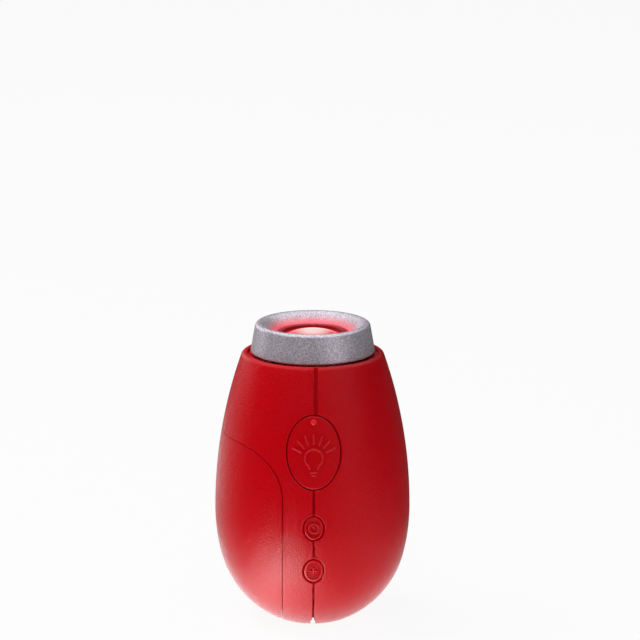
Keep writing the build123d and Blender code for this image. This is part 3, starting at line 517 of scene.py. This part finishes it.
def lit_lens():
    """Clear lens over the lit red lamp, painted glowing: a cream core fading to red at the rim."""
    lens = bpy.context.scene.clock_lens
    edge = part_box("projection_lens")[1].x
    material, nodes = new_material("lens_lit")
    # Painted light: the lens glows, and its base colour goes cream at the middle, for the lamp's
    # light.
    core = fade_out(nodes, from_axis(nodes), *(share * edge for share in CORE_FADE))
    glow = nodes.mix(core, opaque(lens.rim), opaque(lens.core))
    finish_material(
        nodes,
        Base_Color=nodes.mix(core, opaque(LENS_EDGE), opaque(LENS_CORE)),
        Roughness=0.06,
        Emission_Color=glow,
        Emission_Strength=lens.glow,
        Coat_Weight=0.4,
        Coat_Roughness=0.03,
    )
    return material


# Shapes


def skin_arcs():
    """The flank, belly and foot arcs, each as (r of its middle, z of its middle, radius).

    The height where the foot arc gives way to the belly arc comes with them.
    """
    belly = (BELLY_R - BELLY_ARC_R, BELLY_Z)
    reach = BELLY_ARC_R - FOOT_ARC_R
    sine, cosine = math.sin(BELLY_ARC_TURN), math.cos(BELLY_ARC_TURN)
    foot = (belly[0] + reach * cosine, belly[1] - reach * sine)
    joint = foot[1] - FOOT_ARC_R * sine
    flank = (BELLY_R - FLANK_ARC_R, BELLY_Z)
    return [(*flank, FLANK_ARC_R), (*belly, BELLY_ARC_R), (*foot, FOOT_ARC_R)], joint


def skin_radius(z):
    """Radius of the egg's skin at heights z: the foot, belly and flank arcs, each where it runs.

    An arc of radius r about (a, b) has the radius a + sqrt(r^2 - (z - b)^2) at height z.
    """
    arcs, joint = skin_arcs()
    radii = [a + np.sqrt(np.maximum(r * r - (z - b) ** 2, 0.0)) for a, b, r in arcs]
    return np.where(z > BELLY_Z, radii[0], np.where(z > joint, radii[1], radii[2]))


def on_skin(x, z, depth):
    """Points and normals of the front skin at (x, z), sunk by depth.

    y is -sqrt(R(z)^2 - x^2), and the normal is the point's direction from the Z axis, tilted by
    the skin's slope, which is measured over a short step in z.
    """
    step = 0.05 * MM
    radius = skin_radius(z)
    slope = (skin_radius(z + step) - skin_radius(z - step)) / (2 * step)
    y = -np.sqrt(radius**2 - x**2)
    normal = np.stack([x / radius, y / radius, -slope], axis=-1)
    normal /= np.linalg.norm(normal, axis=-1, keepdims=True)
    return np.stack([x, y, z], axis=-1) - depth * normal, normal


def stroke(route, closed, half_width, rise, depth):
    """A ridge laid on the front skin along a flat route of (x, z) points.

    Round each point goes an ellipse: half_width * cos(t) across the route, rise * sin(t) out of
    the skin. An open stroke ends in a half circle, of which the tip keeps a fifth of the width.
    """
    count, sides = len(route), 10
    square_of_fifth = 0.04
    if closed:
        ahead, behind = np.roll(route, -1, axis=0), np.roll(route, 1, axis=0)
        along = ahead - behind
        swell = np.ones(count)
    else:
        along = np.gradient(route, axis=0)
        run = np.concatenate([[0.0], np.cumsum(np.linalg.norm(np.diff(route, axis=0), axis=1))])
        to_end = np.minimum(run, run[-1] - run) / half_width
        swell = np.sqrt(np.clip(1 - (1 - np.minimum(to_end, 1.0)) ** 2, square_of_fifth, 1.0))
    along /= np.linalg.norm(along, axis=1, keepdims=True)
    across = np.stack([along[:, 1], -along[:, 0]], axis=1)
    turn = np.linspace(0, 2 * np.pi, sides, endpoint=False)
    spread = (half_width * swell)[:, None] * np.cos(turn)[None, :]
    flat = route[:, None, :] + across[:, None, :] * spread[:, :, None]
    points, normals = on_skin(flat[..., 0], flat[..., 1], depth)
    lift = (rise * swell)[:, None] * np.sin(turn)[None, :]
    points = points + normals * lift[..., None]
    rows = np.arange(count if closed else count - 1)
    a = rows[:, None] * sides + np.arange(sides)[None, :]
    b = rows[:, None] * sides + (np.arange(sides)[None, :] + 1) % sides
    hop = sides * ((rows + 1) % count - rows)[:, None]
    quads = np.stack([a, b, b + hop, a + hop], axis=-1).reshape(-1, 4).tolist()
    if not closed:
        last = (count - 1) * sides
        quads.append(list(range(sides))[::-1])
        quads.append([last + side for side in range(sides)])
    return points.reshape(-1, 3), quads


def build_symbol(name, strokes, node, material):
    """One mesh from several strokes, riding on the body of its button."""
    vertices, faces, start = [], [], 0
    for points, quads in strokes:
        vertices.append(points)
        faces.extend([[index + start for index in face] for face in quads])
        start += len(points)
    mesh = bpy.data.meshes.new(name)
    mesh.from_pydata(np.concatenate(vertices).tolist(), [], faces)
    mesh.update()
    mesh.shade_smooth()
    piece = bpy.data.objects.new(name, mesh)
    bpy.context.scene.collection.objects.link(piece)
    mesh.materials.append(material)
    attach(piece, node)


def ring_route(radius, height, count=48):
    """Points of a circle round (0, height)."""
    turn = np.linspace(0, 2 * np.pi, count, endpoint=False)
    return np.stack([radius * np.cos(turn), height + radius * np.sin(turn)], axis=1)


def line_route(start, end, count=14):
    """Points on the straight line between two points, closer together at its ends."""
    share = (0.5 - 0.5 * np.cos(np.linspace(0, np.pi, count)))[:, None]
    return np.array(start)[None, :] * (1 - share) + np.array(end)[None, :] * share


def mid_height(node):
    """The height of the middle of a CAD node."""
    low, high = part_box(node)
    return (low.z + high.z) / 2


# Operators


class CLOCK_OT_case(bpy.types.Operator):
    """Dress the two shells and the battery door in satin red plastic."""

    bl_idname = "clock.case"
    bl_label = "Case shells and door"

    def execute(self, context):
        red = case_plastic("case_red", painted_shade_in_shell_gaps)
        dress(red, "right_shell", "left_shell", "battery_door")
        return {"FINISHED"}


class CLOCK_OT_collar(bpy.types.Operator):
    """Dress the focus collar in flake silver paint."""

    bl_idname = "clock.collar"
    bl_label = "Focus collar"

    def execute(self, context):
        dress(collar_paint(), "focus_ring")
        return {"FINISHED"}


class CLOCK_OT_optics(bpy.types.Operator):
    """Dress the lens, its carrier and the optics below."""

    bl_idname = "clock.optics"
    bl_label = "Lens and optics"

    def execute(self, context):
        rim = context.scene.clock_lens.rim
        dress(lit_lens(), "projection_lens")
        # Pieces, then colour, colour of the low points, grain size, relief and roughness.
        finishes = {
            "carrier_red": (
                ["lens_carrier"],
                ((0.30, 0.001, 0.006), (0.22, 0.001, 0.004), 0.3 * MM, 0.1, 0.35),
            ),
            "black_plastic": (
                ["lens_retainer", "optical_tube", "lamp_house", "lcd_mask"],
                ((0.02, 0.02, 0.022), (0.012, 0.012, 0.013), 0.2 * MM, 0.3, 0.5),
            ),
            "lamp_epoxy": (
                ["led_lamp"],
                (rim, (0.5, 0.02, 0.03), 0.5 * MM, 0.05, 0.12),
            ),
            "condenser_clear": (
                ["condenser_lens"],
                ((0.82, 0.8, 0.78), (0.78, 0.76, 0.74), 0.6 * MM, 0.03, 0.08),
            ),
            "display_glass": (
                ["lcd_panel"],
                ((0.34, 0.38, 0.36), (0.30, 0.34, 0.33), 0.5 * MM, 0.03, 0.1),
            ),
        }
        for name, (pieces, look) in finishes.items():
            dress(moulded(name, *look), *pieces)
        return {"FINISHED"}


class CLOCK_OT_buttons(bpy.types.Operator):
    """Dress the button caps and lay a raised symbol on each: a light, a dial and a plus sign."""

    bl_idname = "clock.buttons"
    bl_label = "Buttons and symbols"

    # The grain size, relief, roughness and gloss of the symbols.
    grain_size, grain_relief, roughness, gloss = 0.2 * MM, 0.3, 0.34, 0.25
    # The bulb in radii of its arc: the drop of the arc's middle below the button's, the arc's ends
    # in degrees and its points, the foot of the neck and the neck's points, and the two bars.
    bulb_drop = 0.55
    arc_ends, arc_points = (-55.0, 235.0), 60
    neck_foot, neck_points = (0.42, -1.3), 8
    bulb_bars = (((-0.4, -1.62), (0.4, -1.62)), ((-0.26, -1.94), (0.26, -1.94)))
    # Where the rays over the bulb start and end, in the same radii.
    ray_span = (1.5, 2.7)
    # The tips of the dial's hands in radii of the dial, and the bars of the plus in its reaches.
    hands = ((0.0, 0.66), (0.5, 0.0))
    plus_bars = (((-1.0, 0.0), (1.0, 0.0)), ((0.0, -1.0), (0.0, 1.0)))

    def execute(self, context):
        red = case_plastic("button_red", painted_shade_in_cap_hollows, painted_highlight_on_dot)
        dress(red, "project_button", "mode_button", "set_button")
        sizes = context.scene.clock_symbols
        bold = (sizes.half_width, sizes.rise, 0.0)
        fine = (sizes.half_width * sizes.fine, sizes.rise + sizes.recess / 2, sizes.recess)
        look = (sizes.colour, sizes.shade, self.grain_size, self.grain_relief, self.roughness)
        # A lighter red than the case: painted highlight on the raised strokes.
        raised = moulded("symbol_red_painted_highlight", *look, Specular_IOR_Level=self.gloss)
        build_symbol("bulb_symbol", self.bulb(sizes, bold), "project_button", raised)
        build_symbol("dial_symbol", self.dial(sizes, fine), "mode_button", raised)
        build_symbol("plus_symbol", self.plus(sizes, fine), "set_button", raised)
        return {"FINISHED"}

    def bulb(self, sizes, look):
        """A light bulb: an arc that runs into a neck, two bars below it and a fan of rays."""
        radius = sizes.bulb_radius
        centre = np.array([0.0, mid_height("project_button") - self.bulb_drop * radius])
        turn = np.radians(np.linspace(*self.arc_ends, self.arc_points))
        arc = np.stack([np.cos(turn), np.sin(turn)], axis=1)
        neck = line_route(self.neck_foot, arc[0], self.neck_points)[:-1]
        outline = np.concatenate([neck, arc, neck[::-1] * (-1.0, 1.0)])
        routes = [outline, *(line_route(*bar) for bar in self.bulb_bars)]
        near, far = self.ray_span
        for lean in np.linspace(-sizes.fan, sizes.fan, sizes.rays):
            aim = np.array([math.sin(lean), math.cos(lean)])
            routes.append(line_route(near * aim, far * aim))
        return [stroke(centre + radius * route, False, *look) for route in routes]

    def dial(self, sizes, look):
        """A dial with two hands."""
        centre, ring = np.array([0.0, mid_height("mode_button")]), sizes.dial_radius
        strokes = [stroke(ring_route(ring, centre[1]), True, *look)]
        for tip in self.hands:
            route = centre + ring * line_route((0.0, 0.0), tip)
            strokes.append(stroke(route, False, *look))
        return strokes

    def plus(self, sizes, look):
        """Two crossed bars."""
        centre, reach = np.array([0.0, mid_height("set_button")]), sizes.plus_reach
        return [stroke(centre + reach * line_route(*bar), False, *look) for bar in self.plus_bars]


class CLOCK_OT_works(bpy.types.Operator):
    """Dress the board, the switches, the cell, its contacts, the sounder and the screws."""

    bl_idname = "clock.works"
    bl_label = "Inner works"

    # Pieces, then colour, colour between the streaks, stretch of the streaks and roughness.
    metals = {
        "steel": (
            ["cam_pins", "coin_cell", "case_screws", "strap_pin", "quartz_crystal"],
            ((0.62, 0.62, 0.61), (0.45, 0.45, 0.45), (1.0, 1.0, 0.1), 0.3),
        ),
        "tinned_wire": (
            ["led_lead_1", "led_lead_2"],
            ((0.7, 0.7, 0.68), (0.55, 0.55, 0.54), (0.1, 1.0, 1.0), 0.35),
        ),
        "contact_metal": (
            ["negative_contact", "positive_contact"],
            ((0.66, 0.58, 0.42), (0.5, 0.42, 0.28), (1.0, 0.1, 1.0), 0.28),
        ),
        "sounder_brass": (
            ["sounder_disc"],
            ((0.75, 0.55, 0.24), (0.58, 0.4, 0.14), (0.1, 1.0, 1.0), 0.3),
        ),
    }
    # Pieces, then colour, colour of the low points and roughness. All have the same grain.
    plastics = {
        "board_green": (
            ["main_board"],
            ((0.02, 0.16, 0.06), (0.012, 0.11, 0.04), 0.35),
        ),
        "black_resin": (
            ["clock_chip", "chip_resistor_1", "chip_resistor_2", "chip_resistor_3"],
            ((0.018, 0.018, 0.018), (0.01, 0.01, 0.01), 0.45),
        ),
        "switch_grey": (
            [
                "project_switch",
                "project_plunger",
                "mode_switch",
                "mode_plunger",
                "set_switch",
                "set_plunger",
            ],
            ((0.06, 0.06, 0.062), (0.045, 0.045, 0.046), 0.5),
        ),
        "flex_film": (
            ["lcd_flex"],
            ((0.55, 0.24, 0.05), (0.45, 0.18, 0.03), 0.3),
        ),
        "socket_cream": (
            ["flex_socket"],
            ((0.78, 0.74, 0.64), (0.7, 0.66, 0.56), 0.5),
        ),
        "ceramic_white": (
            ["sounder_ceramic"],
            ((0.82, 0.81, 0.78), (0.74, 0.73, 0.7), 0.4),
        ),
        "wire_red": (
            ["sounder_wire_1"],
            ((0.55, 0.02, 0.02), (0.45, 0.015, 0.015), 0.4),
        ),
        "wire_black": (
            ["sounder_wire_2"],
            ((0.02, 0.02, 0.02), (0.012, 0.012, 0.012), 0.4),
        ),
    }
    grain_size, grain_relief = 0.25 * MM, 0.2

    def execute(self, context):
        for name, (pieces, look) in self.metals.items():
            dress(metal(name, *look), *pieces)
        for name, (pieces, (colour, shade, roughness)) in self.plastics.items():
            look = (colour, shade, self.grain_size, self.grain_relief, roughness)
            dress(moulded(name, *look), *pieces)
        return {"FINISHED"}


class CLOCK_OT_stage(bpy.types.Operator):
    """Lay the pale floor, set the soft studio light and aim the camera."""

    bl_idname = "clock.stage"
    bl_label = "Stage, light and camera"

    # Softboxes: azimuth from the front and elevation in degrees, and power in watts.
    softboxes = {
        "front_softbox": (-10.0, 47.0, 1.6),
        "left_softbox": (-105.0, 62.0, 3.2),
    }
    softbox_side, softbox_distance = 0.4, 0.7
    # Pools of light on the table: middle, spread, and strength to mirrored and to diffuse rays.
    pools = (
        ((-20 * MM, -30 * MM), 16 * MM, 10.3, 2.4),
        ((-8 * MM, 23 * MM), 33 * MM, 2.5, 0.0),
        ((-98 * MM, 120 * MM), 73 * MM, 1.3, 0.0),
        ((74 * MM, -54 * MM), 55 * MM, 0.6, 0.0),
        ((30 * MM, -30 * MM), 25 * MM, 0.4, 0.75),
        ((30 * MM, -100 * MM), 50 * MM, 0.0, 0.35),
    )
    # The table's level between its pools, to mirrored and to diffuse rays.
    table_levels = (0.03, 0.8)
    # Grey of the table, grey of the floor that the camera sees, and that floor's share of white.
    table_grey, floor_grey, white_share = 0.05, 0.84, 0.93
    # The lit sides of the room: direction, the cosines between which the light rises, and its
    # level to diffuse and to mirrored rays.
    lit_sides = (
        ((-0.66, 0.75, 0.07), (0.75, 1.0), 0.0, 1.0),
        ((0.0, 0.0, 1.0), (0.42, 0.8), 0.18, 1.0),
        ((0.70, -0.70, 0.14), (0.88, 0.99), 0.0, 0.6),
    )
    # The level of the rest of the room, to diffuse and to mirrored rays.
    room_levels = (0.02, 0.04)
    # The camera: the point that it is aimed at, where that falls in the image, the image's side
    # in pixels, the scale at the target, the sensor in millimetres, and the reach of its view.
    target = Vector((0.0, 0.0, 30 * MM))
    target_pixel = (312.5, 465.9)
    image_side = 640.0
    pixels_per_metre = 5119.7
    sensor = 36.0
    clip = (0.01, 20.0)

    def execute(self, context):
        stage = context.scene.clock_stage
        context.scene.view_settings.view_transform = "Standard"
        self.floor(stage)
        self.backdrop(context)
        for name, (azimuth, elevation, power) in self.softboxes.items():
            self.lamp(name, math.radians(azimuth), math.radians(elevation), power * stage.lamps)
        self.camera(stage)
        return {"FINISHED"}

    def floor(self, stage):
        """A square that the camera sees as white and that still takes the clock's shadow.

        To every other ray it is a light table: a low level all over and a few round pools, each
        strength * exp(-(distance / spread)^2) about its own middle.
        """
        reach = stage.floor_reach
        mesh = bpy.data.meshes.new("floor")
        corners = [(-reach, -reach, 0), (reach, -reach, 0), (reach, reach, 0), (-reach, reach, 0)]
        mesh.from_pydata(corners, [], [(0, 1, 2, 3)])
        floor = bpy.data.objects.new("floor", mesh)
        bpy.context.scene.collection.objects.link(floor)
        material, nodes = new_material("floor_pale")
        place = nodes.place()
        levels = list(self.table_levels)
        for centre, spread, *strengths in self.pools:
            away = nodes.add(
                "ShaderNodeVectorMath", {0: place, 1: (*centre, 0.0)}, operation="DISTANCE"
            )
            share = nodes.math("DIVIDE", away.outputs["Value"], spread)
            squared = nodes.math("POWER", share, 2.0)
            falloff = nodes.math("EXPONENT", nodes.math("MULTIPLY", squared, -1.0))
            for kind, strength in enumerate(strengths):
                if strength:
                    levels[kind] = nodes.math("MULTIPLY_ADD", falloff, strength, levels[kind])
        path = nodes.add("ShaderNodeLightPath").outputs
        seen = path["Is Camera Ray"]
        mirrored = nodes.math("MAXIMUM", path["Is Glossy Ray"], path["Is Transmission Ray"])
        level = nodes.blend(mirrored, levels[1], levels[0])
        level = nodes.product(level, nodes.math("SUBTRACT", 1.0, seen), stage.table)
        table = nodes.add("ShaderNodeEmission", {"Strength": level})
        greys = [opaque((grey, grey, grey)) for grey in (self.table_grey, self.floor_grey)]
        matt = nodes.add("ShaderNodeBsdfDiffuse", {"Color": nodes.mix(seen, *greys)})
        white = nodes.add("ShaderNodeEmission", {"Color": WHITE, "Strength": 1.0})
        share = nodes.math("MULTIPLY", seen, self.white_share)
        pale = {0: share, 1: matt.outputs[0], 2: white.outputs[0]}
        shown = nodes.add("ShaderNodeMixShader", pale)
        both = nodes.add("ShaderNodeAddShader", {0: shown.outputs[0], 1: table.outputs[0]})
        nodes.add("ShaderNodeOutputMaterial", {"Surface": both.outputs[0]})
        material.cycles.emission_sampling = "NONE"
        mesh.materials.append(material)

    def backdrop(self, context):
        """A world that is white to the camera and to clear pieces.

        The clock itself sees a dim room with a few lit sides: white behind its left, a soft
        ceiling and a weaker patch at its right front.
        """
        world = bpy.data.worlds.new("studio")
        world.use_nodes = True
        world.cycles.sampling_method = "NONE"
        world.node_tree.nodes.clear()
        context.scene.world = world
        nodes = Nodes(world.node_tree)
        aim = nodes.add("ShaderNodeTexCoord").outputs["Generated"]
        levels = list(self.room_levels)
        for side, (start, full), *strengths in self.lit_sides:
            toward = nodes.add("ShaderNodeVectorMath", {0: aim, 1: side}, operation="DOT_PRODUCT")
            lit = fade_out(nodes, toward.outputs["Value"], full, start)
            for kind, strength in enumerate(strengths):
                if strength:
                    levels[kind] = nodes.math("MULTIPLY_ADD", lit, strength, levels[kind])
        path = nodes.add("ShaderNodeLightPath").outputs
        level = nodes.blend(path["Is Glossy Ray"], *levels)
        seen = nodes.math("MAXIMUM", path["Is Camera Ray"], path["Is Transmission Ray"])
        white = nodes.mix(seen, level, WHITE)
        sky = nodes.add("ShaderNodeBackground", {"Color": white, "Strength": 1.0})
        nodes.add("ShaderNodeOutputWorld", {"Surface": sky.outputs[0]})

    def lamp(self, name, azimuth, elevation, power):
        """A square softbox that faces the clock from a direction measured from the front."""
        light = bpy.data.lights.new(name, "AREA")
        light.shape, light.size, light.energy = "SQUARE", self.softbox_side, power
        lamp = bpy.data.objects.new(name, light)
        level = self.softbox_distance * math.cos(elevation)
        offset = Vector((level * math.sin(azimuth), -level * math.cos(azimuth), 0.0))
        offset.z = self.softbox_distance * math.sin(elevation)
        lamp.location = self.target + offset
        lamp.rotation_euler = offset.to_track_quat("Z", "Y").to_euler()
        lamp.visible_glossy = False
        bpy.context.scene.collection.objects.link(lamp)

    def camera(self, stage):
        """A long lens at the stage's distance, turned so that the target falls on its own pixel.

        The camera looks at the target first, and is then turned by the angle between the image's
        middle and that pixel.
        """
        flat = stage.distance * math.cos(stage.elevation)
        offset = Vector(
            (
                flat * math.sin(stage.azimuth),
                -flat * math.cos(stage.azimuth),
                stage.distance * math.sin(stage.elevation),
            )
        )
        focal = self.pixels_per_metre * stage.distance
        right = Vector((math.cos(stage.azimuth), math.sin(stage.azimuth), 0.0))
        back = offset.normalized()
        look = Matrix((right, back.cross(right), back)).transposed()
        half = self.image_side / 2
        pixel = Vector((self.target_pixel[0] - half, half - self.target_pixel[1], -focal))
        swing = pixel.rotation_difference(Vector((0.0, 0.0, -1.0))).to_matrix()
        turned = look @ Matrix.Rotation(stage.roll, 3, "Z") @ swing
        data = bpy.data.cameras.new("camera")
        data.sensor_width, data.lens = self.sensor, focal * self.sensor / self.image_side
        data.clip_start, data.clip_end = self.clip
        camera = bpy.data.objects.new("camera", data)
        camera.matrix_world = Matrix.Translation(self.target + offset) @ turned.to_4x4()
        bpy.context.scene.collection.objects.link(camera)
        bpy.context.scene.camera = camera


class CLOCK_PT_panel(bpy.types.Panel):
    """Lists the clock's operators and settings."""

    bl_idname = "CLOCK_PT_panel"
    bl_label = "Pocket projection clock"
    bl_space_type = "VIEW_3D"
    bl_region_type = "UI"
    bl_category = "Clock"

    def draw(self, context):
        for operator in OPERATORS:
            self.layout.operator(operator.bl_idname)
        for name in SETTINGS:
            box = self.layout.box()
            settings = getattr(context.scene, name)
            for key in settings.__annotations__:
                box.prop(settings, key)


SETTINGS = {
    "clock_case": CaseSettings,
    "clock_collar": CollarSettings,
    "clock_lens": LensSettings,
    "clock_symbols": SymbolSettings,
    "clock_stage": StageSettings,
}
OPERATORS = (
    CLOCK_OT_case,
    CLOCK_OT_collar,
    CLOCK_OT_optics,
    CLOCK_OT_buttons,
    CLOCK_OT_works,
    CLOCK_OT_stage,
)


def register():
    """Register the settings, the operators and the panel."""
    for group in SETTINGS.values():
        bpy.utils.register_class(group)
    for name, group in SETTINGS.items():
        setattr(bpy.types.Scene, name, PointerProperty(type=group))
    for operator in (*OPERATORS, CLOCK_PT_panel):
        bpy.utils.register_class(operator)


def unregister():
    """Take away everything that register adds."""
    for operator in (CLOCK_PT_panel, *reversed(OPERATORS)):
        bpy.utils.unregister_class(operator)
    for name, group in SETTINGS.items():
        delattr(bpy.types.Scene, name)
        bpy.utils.unregister_class(group)


def main():
    register()
    bpy.ops.clock.case()
    bpy.ops.clock.collar()
    bpy.ops.clock.optics()
    bpy.ops.clock.buttons()
    bpy.ops.clock.works()
    bpy.ops.clock.stage()


if __name__ == "__main__":
    main()
